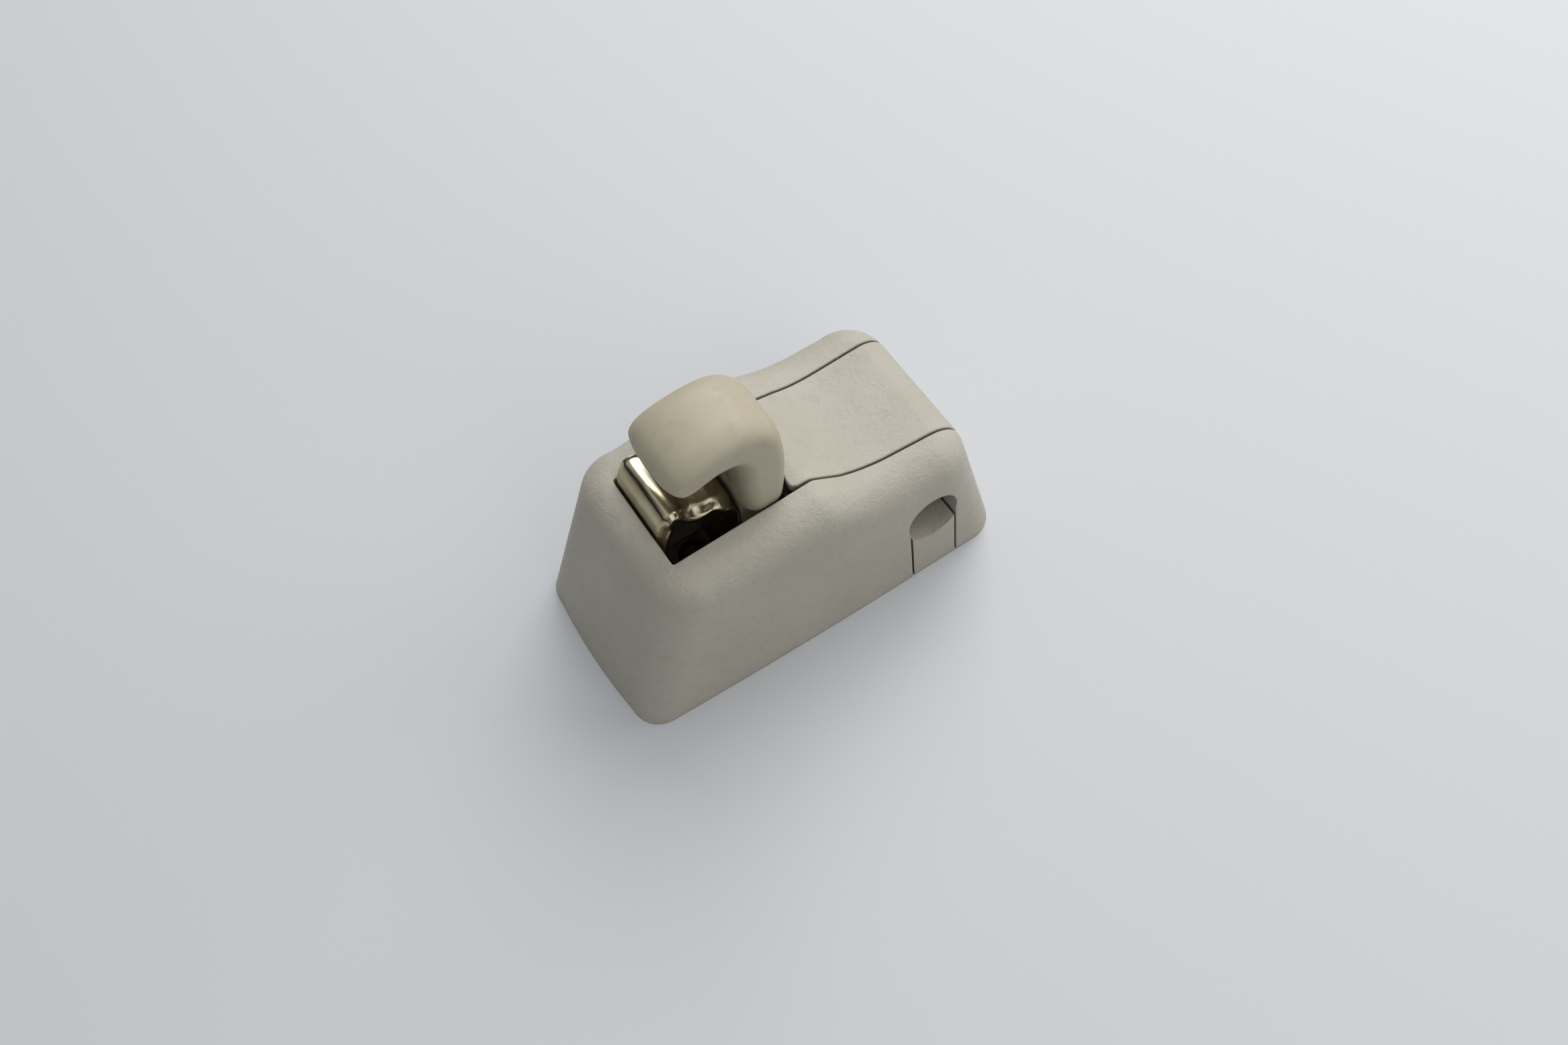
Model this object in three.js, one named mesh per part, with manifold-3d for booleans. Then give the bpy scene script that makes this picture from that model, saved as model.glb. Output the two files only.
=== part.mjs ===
// Sun-visor support clip for a car roof: a drafted plastic housing with a steel-cored hook and a steel leaf
// that snap over the pin of a visor, a cross tunnel for a second pin, and a hinged flap over the screw.
// Millimetres. +X runs from the sloping nose to the flap end, +Y across, +Z away from the roof skin.
// Stations along X are measured from the nose, and the finished group is shifted so that its origin is the
// centre of the base.
import * as THREE from "three";
import { mergeVertices } from "three/addons/utils/BufferGeometryUtils.js";
import Module from "manifold-3d";

const wasm = await Module();
wasm.setup();

// Housing
const LENGTH = 62;
const NOSE_HALF_WIDTH = 15;
const REAR_HALF_WIDTH = 16.5;
const SIDE_BOW = 0.5; // how far each long side bulges at mid length
const NOSE_BOW = 1.2; // how far the foot of the nose bulges at its middle
const DECK_HEIGHT = 28.2; // top surface round the hook
const REAR_HEIGHT = 23.9; // top surface of the flap end
const REAR_FALL = 0.06; // slope of the flap end
const REAR_FLAT_FROM = 47; // station where the step down from the deck has run out
const NOSE_RUN = 9.3; // how far the nose leans back over the deck height
const SIDE_DRAFT = 0.082; // slopes, as run over rise
const END_DRAFT = 0.18;
const CORNER_RADIUS = 4.8;
const EDGE_RADIUS = 4.8;
const WALL = 2.7;

// Window for the hook, and the flap behind it
const WINDOW_FRONT = 13.2;
const WINDOW_HALF = 7.75;
const FLAP_FRONT = 33.4;
const FLAP_EAR_FRONT = 32.1; // the front edge curves forward into two ears round the hook's back
const FLAP_WIDE_FROM = 35.2;
const FLAP_HALF_WIDTHS = [[35.2, 7.65], [39, 8.3], [46, 8.75], [64, 9.5]]; // station, half width
const FLAP_THICK = 1.5;
const FLAP_LIP_BOTTOM = 9;
const SEAM = 0.3;
const LEDGE_WIDTH = 1.3;
const LEDGE_FROM = 41;

// Flap hinge
const HINGE_X = 35.4;
const HINGE_Z = 25.7;
const HINGE_PIN_RADIUS = 0.75;
const BARREL_RADIUS = 1.5;
const HINGE_HALF = 9.6;

// Cross tunnel for the second visor pin
const TUNNEL_X = 50;
const TUNNEL_Z = 12.9;
const TUNNEL_RADIUS = 4.15;
const SLEEVE_WALL = 1.2;
const TAB_CLEARANCE = 0.3;

// Hook
const HOOK_HALF = 7.45; // half width at the root, and at the head that the hook tapers to
const HOOK_HEAD_HALF = 6.1;
const HOOK_WAIST_HALF = 4.9; // between the foot and the shoulder that sits in the window
const HOOK_WAIST_Z = [21.5, 27.9];
const HOOK_BOTTOM = 7.4;
const HOOK_ROUND = 2.2; // how far the two sides are rounded in
const CORE_THICK = 1.8;
const CORE_HALF = 3.8;
const CORE_X = 28.5;
const CORE_TOP = 33;
const CORE_PIN_Z = 12;
const CORE_PIN_RADIUS = 1.1;

// Leaf spring
const LEAF_THICK = 0.55;
const LEAF_CENTRE_Y = 1.3;
const LEAF_HALF = 6.15;
const LEAF_ROOT_HALF = 5.2;
const LEAF_BEND = [24.75, 27.4]; // x and z of the bend that the arm flexes about

// Base
const FLOOR = 2.4;
const GAP = 0.3;
const PLATE_THICK = 1.2;
const PLATE_Z = FLOOR + GAP;
const SEAT_Z = PLATE_Z + PLATE_THICK + GAP; // underside of what is riveted to the plate
const RIVET_RADIUS = 1;
const LEAF_RIVETS = { x: 20.2, y: 3.6 };
const CORE_RIVETS = { x: 32.4, y: 4.2 };
const SCREW_X = 39.3;
const BOSS_RADIUS = 4.7;
const BOSS_TOP = 13;
const SLEEVE_RADIUS = 3.1;
const SCREW_RADIUS = 2;
const SCREW_TIP = 0.6;
const SCREW_LENGTH = 19.4;
const CASE_SCREWS = [
  { name: "front_near", x: 9.6, y: -10.6 },
  { name: "front_far", x: 9.6, y: 10.6 },
  { name: "rear_near", x: 57, y: -11.3 },
  { name: "rear_far", x: 57, y: 11.3 },
];
const CASE_SCREW_RADIUS = 1.1;
const CASE_BOSS_RADIUS = 2.5;

// ---------- solids ----------

// A closed geometry as a manifold-3d solid.
function solid(geometry) {
  const plain = geometry.index ? geometry.toNonIndexed() : geometry.clone();
  plain.deleteAttribute("normal");
  plain.deleteAttribute("uv");
  const merged = mergeVertices(plain, 1e-3);
  const index = merged.index.array;
  const kept = [];
  for (let i = 0; i < index.length; i += 3) {
    const [a, b, c] = [index[i], index[i + 1], index[i + 2]];
    if (a !== b && b !== c && a !== c) kept.push(a, b, c);
  }
  return new wasm.Manifold(
    new wasm.Mesh({
      numProp: 3,
      vertProperties: merged.attributes.position.array,
      triVerts: new Uint32Array(kept),
    }),
  );
}

function geometryOf(body) {
  const mesh = body.getMesh();
  const points = new Float32Array(mesh.numVert * 3);
  for (let i = 0; i < mesh.numVert; i++) {
    points.set(mesh.vertProperties.subarray(i * mesh.numProp, i * mesh.numProp + 3), i * 3);
  }
  const geometry = new THREE.BufferGeometry();
  geometry.setAttribute("position", new THREE.BufferAttribute(points, 3));
  geometry.setIndex(new THREE.BufferAttribute(mesh.triVerts, 1));
  const faceted = geometry.toNonIndexed();
  faceted.computeVertexNormals();
  return faceted;
}

const union = (first, ...rest) => rest.reduce((sum, next) => sum.add(next), first);
const cut = (first, ...rest) => rest.reduce((left, next) => left.subtract(next), first);

function box([x0, x1], [y0, y1], [z0, z1]) {
  const geometry = new THREE.BoxGeometry(x1 - x0, y1 - y0, z1 - z0);
  return solid(geometry.translate((x0 + x1) / 2, (y0 + y1) / 2, (z0 + z1) / 2));
}

// A turned solid about a vertical axis; the profile lists [radius, z] from the bottom to the top.
function turned(x, y, profile, segments = 20) {
  const points = profile.map(([r, z]) => new THREE.Vector2(r, z));
  const geometry = new THREE.LatheGeometry(points, segments);
  return solid(geometry.rotateX(Math.PI / 2).translate(x, y, 0));
}

function post(x, y, radius, [z0, z1], segments = 20) {
  return turned(x, y, [[0, z0], [radius, z0], [radius, z1], [0, z1]], segments);
}

// A cylinder across the part, along Y.
function rod(x, z, radius, [y0, y1], segments = 24) {
  const geometry = new THREE.CylinderGeometry(radius, radius, y1 - y0, segments);
  return solid(geometry.translate(x, (y0 + y1) / 2, z));
}

// A cylinder along the part, along X, on its middle line.
function pinAlong(z, radius, [x0, x1], segments = 16) {
  const geometry = new THREE.CylinderGeometry(radius, radius, x1 - x0, segments).rotateZ(Math.PI / 2);
  return solid(geometry.translate((x0 + x1) / 2, 0, z));
}

// A flat outline in X and Y, raised from z0 to z1.
function prism(outline, [z0, z1]) {
  const shape = new THREE.Shape(outline.map(([x, y]) => new THREE.Vector2(x, y)));
  const geometry = new THREE.ExtrudeGeometry(shape, { depth: z1 - z0, bevelEnabled: false });
  return solid(geometry.translate(0, 0, z0));
}

// A flat outline in X and Z, drawn out across the part from y0 to y1.
function bar(outline, [y0, y1]) {
  const shape = new THREE.Shape(outline.map(([x, z]) => new THREE.Vector2(x, z)));
  const geometry = new THREE.ExtrudeGeometry(shape, { depth: y1 - y0, bevelEnabled: false });
  return solid(geometry.rotateX(Math.PI / 2).translate(0, y1, 0));
}

// A skin through rings of equal length, each an array of [x, y, z]. The first and last rings are either
// drawn together to a line or a point, or, with capped, flat outlines in X and Z that are filled in.
function loft(rings, capped = false) {
  const around = rings[0].length;
  const corners = [];
  const quad = (a, b, c, d) => corners.push(...a, ...b, ...c, ...a, ...c, ...d);
  if (capped) {
    const [first, last] = [rings[0], rings.at(-1)];
    const flat = first.map(([x, , z]) => new THREE.Vector2(x, z));
    for (const [a, b, c] of THREE.ShapeUtils.triangulateShape(flat, [])) {
      corners.push(...first[a], ...first[c], ...first[b], ...last[a], ...last[b], ...last[c]);
    }
  }
  for (let k = 0; k + 1 < rings.length; k++) {
    for (let i = 0; i < around; i++) {
      const j = (i + 1) % around;
      quad(rings[k][i], rings[k][j], rings[k + 1][j], rings[k + 1][i]);
    }
  }
  const geometry = new THREE.BufferGeometry();
  geometry.setAttribute("position", new THREE.Float32BufferAttribute(corners, 3));
  return solid(geometry);
}

const mix = (a, b, t) => a.map((v, i) => v + (b[i] - v) * t);

// ---------- housing form ----------

// The top runs level along the deck, steps down in an S, and falls gently to the end.
const stepDown = new THREE.CubicBezierCurve(
  new THREE.Vector2(33.4, DECK_HEIGHT),
  new THREE.Vector2(36.8, DECK_HEIGHT),
  new THREE.Vector2(38.8, REAR_HEIGHT + 0.5),
  new THREE.Vector2(REAR_FLAT_FROM, REAR_HEIGHT),
).getPoints(40);

function topHeight(x) {
  if (x <= stepDown[0].x) return DECK_HEIGHT;
  if (x >= REAR_FLAT_FROM) return REAR_HEIGHT - REAR_FALL * (x - REAR_FLAT_FROM);
  const next = stepDown.findIndex((point) => point.x > x);
  const [a, b] = [stepDown[next - 1], stepDown[next]];
  return THREE.MathUtils.lerp(a.y, b.y, (x - a.x) / (b.x - a.x));
}

function baseHalfWidth(x) {
  const u = x / LENGTH;
  return NOSE_HALF_WIDTH + (REAR_HALF_WIDTH - NOSE_HALF_WIDTH) * u + SIDE_BOW * 4 * u * (1 - u);
}

// A rounded plan outline, anticlockwise from above, with the same number of points at every size.
function planOutline(x0, x1, halfAt, radius, bow) {
  const sideSteps = 22;
  const cornerSteps = 5;
  const endSteps = 5;
  const half = [];
  for (let i = 0; i <= endSteps / 2 + 0.5; i++) {
    const y = (halfAt(x0 + radius) - radius) * (i / (endSteps / 2 + 0.5));
    half.push([x0 + bow * (y / halfAt(x0)) ** 2, -y]);
  }
  const noseShift = half.at(-1)[0] - x0;
  const arc = (cx, cy, from, sx) => {
    for (let i = 1; i < cornerSteps; i++) {
      const a = from + (Math.PI / 2) * (i / cornerSteps);
      half.push([cx + radius * Math.cos(a) + sx * (1 - i / cornerSteps), cy + radius * Math.sin(a)]);
    }
  };
  arc(x0 + radius, -(halfAt(x0 + radius) - radius), Math.PI, noseShift);
  for (let i = 0; i <= sideSteps; i++) {
    const x = x0 + radius + (x1 - x0 - 2 * radius) * (i / sideSteps);
    half.push([x, -halfAt(x)]);
  }
  arc(x1 - radius, -(halfAt(x1 - radius) - radius), -Math.PI / 2, 0);
  for (let i = 0; i <= endSteps / 2 + 0.5; i++) {
    half.push([x1, -(halfAt(x1 - radius) - radius) * (1 - i / (endSteps / 2 + 0.5))]);
  }
  const mirrored = half.slice(1, -1).reverse();
  return [...half, ...mirrored.map(([x, y]) => [x, -y])];
}

// The housing's outer form, moved inwards by inset on every face but the base, which sits at floor.
function bodyForm(inset, floor = 0) {
  const deck = DECK_HEIGHT - inset;
  const lean = Math.atan(NOSE_RUN / DECK_HEIGHT);
  const noseInset = inset / Math.cos(lean);
  const noseAt = (z) => noseInset + (NOSE_RUN * z) / DECK_HEIGHT;
  const endAt = (z) => LENGTH - inset - END_DRAFT * z;
  const radius = Math.max(CORNER_RADIUS - inset, 1.5);
  const fillet = Math.max(EDGE_RADIUS - inset, 1.2);
  const base = planOutline(noseAt(floor), endAt(floor), (x) => baseHalfWidth(x) - inset, radius, NOSE_BOW);
  const rearTop = topHeight(LENGTH) - inset;
  const edge = planOutline(
    noseAt(deck),
    endAt(rearTop),
    (x) => baseHalfWidth(x) - inset - SIDE_DRAFT * topHeight(x),
    radius + 1.6,
    0,
  );
  const count = base.length;
  const inwards = edge.map((_, i) => {
    const [ax, ay] = edge[(i + count - 1) % count];
    const [bx, by] = edge[(i + 1) % count];
    const length = Math.hypot(bx - ax, by - ay);
    return [-(by - ay) / length, (bx - ax) / length];
  });
  const rise = edge.map(([x]) => topHeight(x) - inset - floor);
  const slope = edge.map(([x, y], i) => {
    const [nx, ny] = inwards[i];
    return Math.atan(((x - base[i][0]) * nx + (y - base[i][1]) * ny) / rise[i]);
  });
  const ridge = (x) => THREE.MathUtils.clamp(x, noseAt(deck) + 8, endAt(rearTop) - 8);

  const foot = base.map(([x, y]) => [x, y, floor]);
  const rings = [foot.map(([x]) => [ridge(x), 0, floor]), foot];
  const tangent = edge.map(([x, y], i) => {
    const drop = fillet * (1 - Math.sin(slope[i]));
    return mix(foot[i], [x, y, floor + rise[i]], 1 - drop / rise[i]);
  });
  rings.push(foot.map((p, i) => mix(p, tangent[i], 0.5)), tangent);
  const arcSteps = 6;
  for (let k = 1; k <= arcSteps; k++) {
    rings.push(
      edge.map(([x, y], i) => {
        const angle = slope[i] + (Math.PI / 2 - slope[i]) * (k / arcSteps);
        const setback = fillet * (Math.tan(Math.PI / 4 - slope[i] / 2) - Math.cos(angle));
        const px = x + inwards[i][0] * setback;
        const height = topHeight(px) - inset - fillet * (1 - Math.sin(angle));
        return [px, y + inwards[i][1] * setback, height];
      }),
    );
  }
  const shoulder = rings.at(-1);
  for (const t of [0.5, 1]) {
    rings.push(
      shoulder.map(([x, y]) => {
        const [px, py] = mix([x, y], [ridge(x), 0], t);
        return [px, py, topHeight(px) - inset];
      }),
    );
  }
  return loft(rings);
}

// The plan of the flap's opening, drawn in by a margin, from a station to past the end wall.
function flapPlan(from, margin) {
  const widths = FLAP_HALF_WIDTHS.filter(([x]) => x > from);
  const start = [from, (from < FLAP_HALF_WIDTHS[1][0] ? FLAP_HALF_WIDTHS : widths)[0][1]];
  const near = [start, ...widths].map(([x, half]) => [x, -(half - margin)]);
  return [...near, ...near.toReversed().map(([x, y]) => [x, -y])];
}

// ---------- pieces ----------

const plateTop = SEAT_Z - GAP;
const slotHalf = TUNNEL_RADIUS - 0.2;

// Window edge to edge, open through the deck, with the flap's opening cut through behind it.
function housing() {
  const shell = cut(bodyForm(0), bodyForm(WALL, -0.01).add(box([-1, 63], [-20, 20], [-2, 0])));
  const flapRecess = prism(flapPlan(FLAP_WIDE_FROM, 0), [FLAP_LIP_BOTTOM - SEAM, 40]);
  const skin = cut(flapRecess, bodyForm(FLAP_THICK + SEAM));
  const flapHole = prism(flapPlan(LEDGE_FROM, LEDGE_WIDTH), [FLAP_LIP_BOTTOM + 2, 40]);
  const window = box([WINDOW_FRONT, LEDGE_FROM + 0.5], [-WINDOW_HALF, WINDOW_HALF], [10, 40]);
  const inside = bodyForm(WALL / 2);
  const tunnelWall = rod(TUNNEL_X, TUNNEL_Z, TUNNEL_RADIUS + SLEEVE_WALL, [-20, 20], 32).add(
    box(
      [TUNNEL_X - TUNNEL_RADIUS - SLEEVE_WALL, TUNNEL_X + TUNNEL_RADIUS + SLEEVE_WALL],
      [-20, 20],
      [FLOOR + 2, TUNNEL_Z],
    ),
  );
  const bosses = CASE_SCREWS.map(({ x, y }) => {
    const outer = Math.sign(y);
    const web = box(
      [x - CASE_BOSS_RADIUS, x + CASE_BOSS_RADIUS],
      [Math.min(y, y + outer * 5), Math.max(y, y + outer * 5)],
      [FLOOR + GAP, 13],
    );
    return post(x, y, CASE_BOSS_RADIUS, [FLOOR + GAP, 13]).add(web).intersect(inside);
  });
  const lugs = [-1, 1].map((side) => {
    const [a, b] = [WINDOW_HALF, HINGE_HALF + 0.6].map((y) => y * side).sort((p, q) => p - q);
    return box([HINGE_X - 2.2, HINGE_X + 2.2], [a, b], [HINGE_Z - 2, HINGE_Z + 1.6]).intersect(inside);
  });
  const whole = union(shell, tunnelWall.intersect(inside), ...bosses, ...lugs);
  const slot = box(
    [TUNNEL_X - slotHalf, TUNNEL_X + slotHalf],
    [-20, 20],
    [-1, TUNNEL_Z],
  ).add(rod(TUNNEL_X, TUNNEL_Z, TUNNEL_RADIUS, [-20, 20], 32));
  const pilots = CASE_SCREWS.map(({ x, y }) => post(x, y, CASE_SCREW_RADIUS + GAP, [0, 11], 12));
  const pinHole = rod(HINGE_X, HINGE_Z, HINGE_PIN_RADIUS + GAP, [-HINGE_HALF - GAP, HINGE_HALF + GAP], 16);
  return cut(whole, skin, flapHole, window, slot, pinHole, ...pilots);
}

// The hinged flap: a skin that carries on the housing's top and end, with barrels at the front.
function coverFlap() {
  const frontHalf = WINDOW_HALF - 1.5 * SEAM;
  const wide = prism(flapPlan(FLAP_WIDE_FROM + SEAM, SEAM), [FLAP_LIP_BOTTOM, 40]);
  const radius = 0.9;
  const front = new THREE.Shape();
  front.moveTo(FLAP_WIDE_FROM + 1, -frontHalf);
  front.lineTo(FLAP_WIDE_FROM + 1, frontHalf);
  front.lineTo(FLAP_EAR_FRONT + radius, frontHalf);
  front.quadraticCurveTo(FLAP_EAR_FRONT, frontHalf, FLAP_EAR_FRONT + 0.1, frontHalf - radius);
  front.quadraticCurveTo(FLAP_FRONT, 3, FLAP_FRONT, 0);
  front.quadraticCurveTo(FLAP_FRONT, -3, FLAP_EAR_FRONT + 0.1, -frontHalf + radius);
  front.quadraticCurveTo(FLAP_EAR_FRONT, -frontHalf, FLAP_EAR_FRONT + radius, -frontHalf);
  const tongue = new THREE.ExtrudeGeometry(front, { depth: 20, bevelEnabled: false, curveSegments: 5 });
  const plan = wide.add(solid(tongue.translate(0, 0, 20)));
  const skin = cut(bodyForm(0).intersect(plan), bodyForm(FLAP_THICK));
  const barrels = [-1, 1].map((side) => {
    const [a, b] = [2.6, frontHalf].map((y) => y * side).sort((p, q) => p - q);
    const web = box([HINGE_X - 1, HINGE_X + 1], [a, b], [HINGE_Z, topHeight(HINGE_X + 1) - 0.8]);
    return rod(HINGE_X, HINGE_Z, BARREL_RADIUS, [a, b], 20).add(web);
  });
  const ribs = [-5, 5].map((y) => {
    const rib = box([38.6, 56], [y - 0.5, y + 0.5], [18, 40]);
    return rib.intersect(bodyForm(FLAP_THICK / 2)).subtract(bodyForm(FLAP_THICK + 1));
  });
  const bore = rod(HINGE_X, HINGE_Z, HINGE_PIN_RADIUS + GAP, [-10, 10], 16);
  return cut(union(skin, ...barrels, ...ribs), bore);
}

function coverHingePin() {
  return rod(HINGE_X, HINGE_Z, HINGE_PIN_RADIUS, [-HINGE_HALF, HINGE_HALF], 16);
}

// The carrier closes the base. Its saddle fills the housing's slots and is the lower half of the tunnel.
function carrier() {
  const inner = bodyForm(WALL + GAP);
  const floor = inner.intersect(box([0, LENGTH], [-20, 20], [0, FLOOR]));
  const half = slotHalf - TAB_CLEARANCE;
  const saddleFoot = box([TUNNEL_X - half, TUNNEL_X + half], [-20, 20], [0, TUNNEL_Z - 1.4]);
  const saddle = saddleFoot.intersect(bodyForm(0.05));
  const boss = post(SCREW_X, 0, BOSS_RADIUS, [0, BOSS_TOP], 28);
  const cheeks = [-1, 1].map((side) => {
    const [a, b] = [HOOK_HALF + 0.4, HOOK_HALF + 2.2].map((y) => y * side).sort((p, q) => p - q);
    const outline = [[24.4, 1], [33.4, 1], [32.2, 19], [26.2, 19]];
    return bar(outline, [a, b]);
  });
  const solidWhole = union(floor, saddle, boss, ...cheeks);
  const hollow = rod(TUNNEL_X, TUNNEL_Z + 0.6, TUNNEL_RADIUS + 0.9, [-20, 20], 40);
  const rivetWells = [LEAF_RIVETS, CORE_RIVETS].flatMap(({ x, y }) =>
    [-y, y].map((py) => post(x, py, 2.5, [-1, FLOOR + 1], 20)),
  );
  const caseHole = CASE_SCREW_RADIUS + GAP;
  const caseHoles = CASE_SCREWS.map(({ x, y }) =>
    turned(x, y, [[0, -1], [2.5, -1], [2.5, 1.2], [caseHole, 1.2], [caseHole, 4], [0, 4]]),
  );
  const screwBore = post(SCREW_X, 0, SLEEVE_RADIUS + GAP, [-1, BOSS_TOP + 1], 24);
  const lighten = box([3.5, 14.5], [-5, 5], [-1, 1]);
  return cut(solidWhole, hollow, screwBore, lighten, ...rivetWells, ...caseHoles);
}

// The pair of rivet holes through the plate and whatever is riveted to it.
function rivetHoles({ x, y }) {
  return [-y, y].map((py) => post(x, py, RIVET_RADIUS + GAP, [0, 9], 16));
}

function basePlate() {
  const outline = [[16.4, -5.4], [18, -6.9], [46, -6.9], [46, 6.9], [18, 6.9], [16.4, 5.4]];
  const plate = prism(
    outline.map(([x, y]) => [Math.min(x, TUNNEL_X - slotHalf - SLEEVE_WALL - 0.5), y]),
    [PLATE_Z, plateTop],
  );
  const bossHole = post(SCREW_X, 0, BOSS_RADIUS + GAP, [0, 8], 28);
  return cut(plate, bossHole, ...rivetHoles(LEAF_RIVETS), ...rivetHoles(CORE_RIVETS));
}

// Side view of the hook in X and Z: up the back, over the top, round the tip and down into the foot.
const hookSide = new THREE.CatmullRomCurve3(
  [
    [31, HOOK_BOTTOM],
    [31.1, 20],
    [31.3, 26],
    [32.2, 31],
    [33, 36],
    [32.6, 39.6],
    [31, 42.1],
    [28.4, 43.7],
    [25, 44.3],
    [21.5, 44.1],
    [18.6, 43.3],
    [16.7, 42.1],
    [15.7, 40.3],
    [16.7, 38.6],
    [18.7, 38],
    [20.9, 38.2],
    [23, 38.4],
    [25.1, 37.8],
    [25.9, 35.2],
    [25.7, 31],
    [25.3, 27],
    [25.2, 18],
    [25.2, HOOK_BOTTOM],
  ].map(([x, z]) => new THREE.Vector3(x, 0, z)),
  false,
  "centripetal",
);

// The side view carried across the part, its two sides rounded off, more deeply round the tip.
function hook() {
  const count = 52;
  const outline = Array.from({ length: count }, (_, i) => {
    const t = i / (count - 1);
    const point = hookSide.getPoint(t);
    const along = hookSide.getTangent(t);
    const inwards = new THREE.Vector3(-along.z, 0, along.x);
    const head = THREE.MathUtils.smoothstep(point.z, 32, 38);
    const tip = 1 - THREE.MathUtils.smoothstep(point.x, 16, 24);
    const taper = THREE.MathUtils.smoothstep(point.z, 28, 41);
    const half = THREE.MathUtils.lerp(HOOK_HALF, HOOK_HEAD_HALF, taper);
    return { point, inwards, half, round: 2.5 + head + tip, inset: HOOK_ROUND - 0.7 * tip };
  });
  const section = (side, angle) =>
    outline.map(({ point, inwards, half, round, inset }) => {
      const depth = inset * (1 - Math.cos(angle));
      const y = side * (half - round * (1 - Math.sin(angle)));
      return point.clone().addScaledVector(inwards, depth).setY(y).toArray();
    });
  const steps = 5;
  const angles = Array.from({ length: steps + 1 }, (_, k) => (k / steps) * (Math.PI / 2));
  const rings = [
    ...angles.toReversed().map((angle) => section(1, angle)),
    ...angles.map((angle) => section(-1, angle)),
  ];
  const pocket = box(
    [CORE_X - CORE_THICK / 2 - GAP, CORE_X + CORE_THICK / 2 + GAP],
    [-CORE_HALF - GAP, CORE_HALF + GAP],
    [0, CORE_TOP + GAP],
  );
  const pinBore = pinAlong(CORE_PIN_Z, CORE_PIN_RADIUS + GAP, [20, 36]);
  const waist = [[-12, -HOOK_WAIST_HALF], [HOOK_WAIST_HALF, 12]].map((y) =>
    box([20, 36], y, HOOK_WAIST_Z),
  );
  return cut(loft(rings, true), pocket, pinBore, ...waist);
}

// Steel tongue inside the hook, with a flange riveted to the base plate behind it.
function hookCore() {
  const [front, rear] = [CORE_X - CORE_THICK / 2, CORE_X + CORE_THICK / 2];
  const tongue = box([front, rear], [-CORE_HALF, CORE_HALF], [SEAT_Z, CORE_TOP]);
  const neck = box([front, 34.2], [-CORE_HALF, CORE_HALF], [SEAT_Z, SEAT_Z + 1.4]);
  const flange = box([30.4, 34.2], [-6.6, 6.6], [SEAT_Z, SEAT_Z + 1.4]);
  const holes = rivetHoles(CORE_RIVETS);
  const pinHole = pinAlong(CORE_PIN_Z, CORE_PIN_RADIUS + GAP, [20, 36]);
  return cut(union(tongue, neck, flange), pinHole, ...holes);
}

function hookCorePin() {
  return pinAlong(CORE_PIN_Z, CORE_PIN_RADIUS, [CORE_X - 3.1, CORE_X + 3.1]);
}

// A pan-headed rivet that clamps a sheet of the given thickness onto the base plate.
function rivet(x, y, sheet) {
  const top = SEAT_Z + sheet + GAP;
  const bottom = PLATE_Z - GAP;
  return turned(x, y, [
    [0, bottom - 1.2],
    [1.5, bottom - 1.2],
    [2.1, bottom - 0.6],
    [2.1, bottom],
    [RIVET_RADIUS, bottom],
    [RIVET_RADIUS, top],
    [2.1, top],
    [1.7, top + 0.7],
    [0.9, top + 1],
    [0, top + 1],
  ]);
}

// Steel strip along a line in X and Z, with a width that may change along it.
function strip(points, halfAt, centreY) {
  const stations = points.map(([x, z]) => new THREE.Vector3(x, 0, z));
  const line = new THREE.CatmullRomCurve3(stations, false, "centripetal");
  const steps = points.length * 3;
  const ring = (t, thick, half) => {
    const centre = line.getPoint(t);
    const along = line.getTangent(t);
    const up = new THREE.Vector3(-along.z, 0, along.x);
    return [[-1, -1], [-1, 0], [-1, 1], [1, 1], [1, 0], [1, -1]].map(([side, y]) =>
      centre.clone().addScaledVector(up, side * thick).setY(centreY + half * y).toArray(),
    );
  };
  const rings = [ring(0, 0, 0)];
  for (let k = 0; k <= steps; k++) rings.push(ring(k / steps, LEAF_THICK / 2, halfAt(k / steps)));
  rings.push(ring(1, 0, 0));
  return loft(rings);
}

// The moving arm: a ramp from the bend to the rolled lip, then the front wall that hangs inside the window.
function leafSpringArm() {
  const [bendX, bendZ] = LEAF_BEND;
  const points = [
    [bendX - 0.1, bendZ + 0.5],
    [24, 29],
    [22.4, 29.6],
    [20.2, 29.7],
    [18.4, 30.5],
    [17, 31.7],
    [15.7, 32],
    [14.8, 31.1],
    [13.9, 29],
    [13.6, 27],
    [13.6, 22],
  ];
  return strip(points, () => LEAF_HALF, LEAF_CENTRE_Y);
}

// The fixed leg below the bend, down to a foot riveted to the base plate.
function leafSpringFoot() {
  const [bendX, bendZ] = LEAF_BEND;
  const z = SEAT_Z + LEAF_THICK / 2;
  const points = [
    [bendX, bendZ],
    [bendX, 20],
    [bendX, 9],
    [24.3, z + 0.9],
    [23.4, z],
    [21, z],
    [17, z],
  ];
  const halfAt = (t) => THREE.MathUtils.lerp(LEAF_HALF, LEAF_ROOT_HALF, Math.min(1, t * 3));
  const foot = strip(points, halfAt, LEAF_CENTRE_Y);
  const holes = rivetHoles(LEAF_RIVETS);
  return cut(foot, ...holes);
}

function fixingScrew() {
  const under = SCREW_TIP + SCREW_LENGTH;
  const body = turned(SCREW_X, 0, [
    [0, SCREW_TIP],
    [0.6, SCREW_TIP + 0.6],
    [SCREW_RADIUS, SCREW_TIP + 3.4],
    [SCREW_RADIUS, under],
    [3.6, under],
    [3.6, under + 1.2],
    [2.9, under + 2.1],
    [0, under + 2.3],
  ]);
  const recess = [0, 90].map((degrees) => {
    const slot = new THREE.BoxGeometry(3.4, 0.9, 3).rotateZ(THREE.MathUtils.degToRad(degrees));
    return solid(slot.translate(SCREW_X, 0, under + 2.5));
  });
  return cut(body, ...recess);
}

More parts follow.
